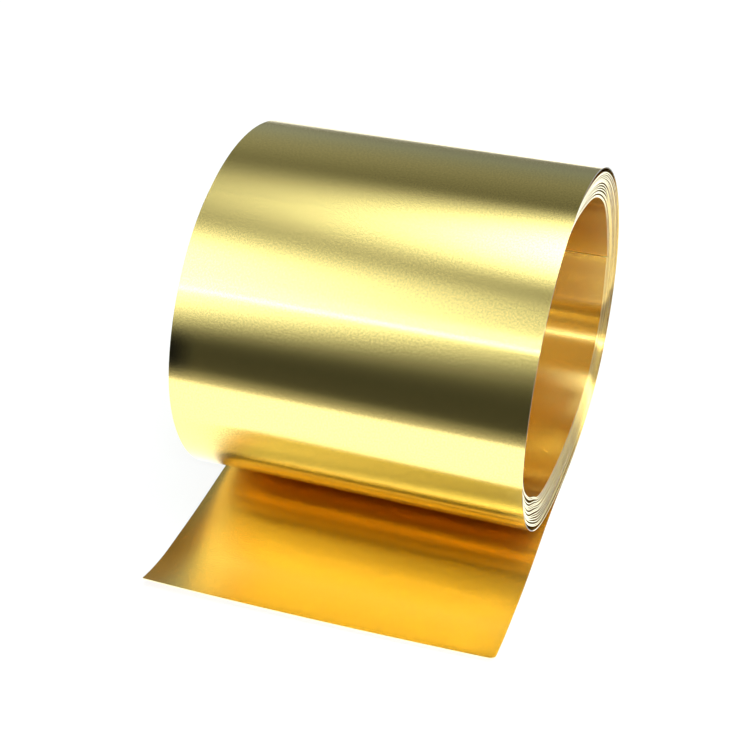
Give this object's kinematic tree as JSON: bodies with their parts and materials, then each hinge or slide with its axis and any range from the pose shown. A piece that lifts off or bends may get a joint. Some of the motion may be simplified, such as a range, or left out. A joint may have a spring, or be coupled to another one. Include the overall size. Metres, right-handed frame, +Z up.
{
  "type": "coil of brass strip",
  "caption": "Loose oval coil of thin brass strip lying on its side, open through its bore, with the strip's free end run out flat in front of it.",
  "frame": {"origin": "on the floor, under the middle of the roll where it touches down, at the middle of the strip's width", "axes": "+X along the roll's axis, +Y away from the free end, +Z up"},
  "size_m": [0.103, 0.1438, 0.0974],
  "materials": {
    "brass": "bright cold-rolled mill finish"
  },
  "bodies": {
    "root": {"brass_strip": "brass"}
  },
  "joints": []
}
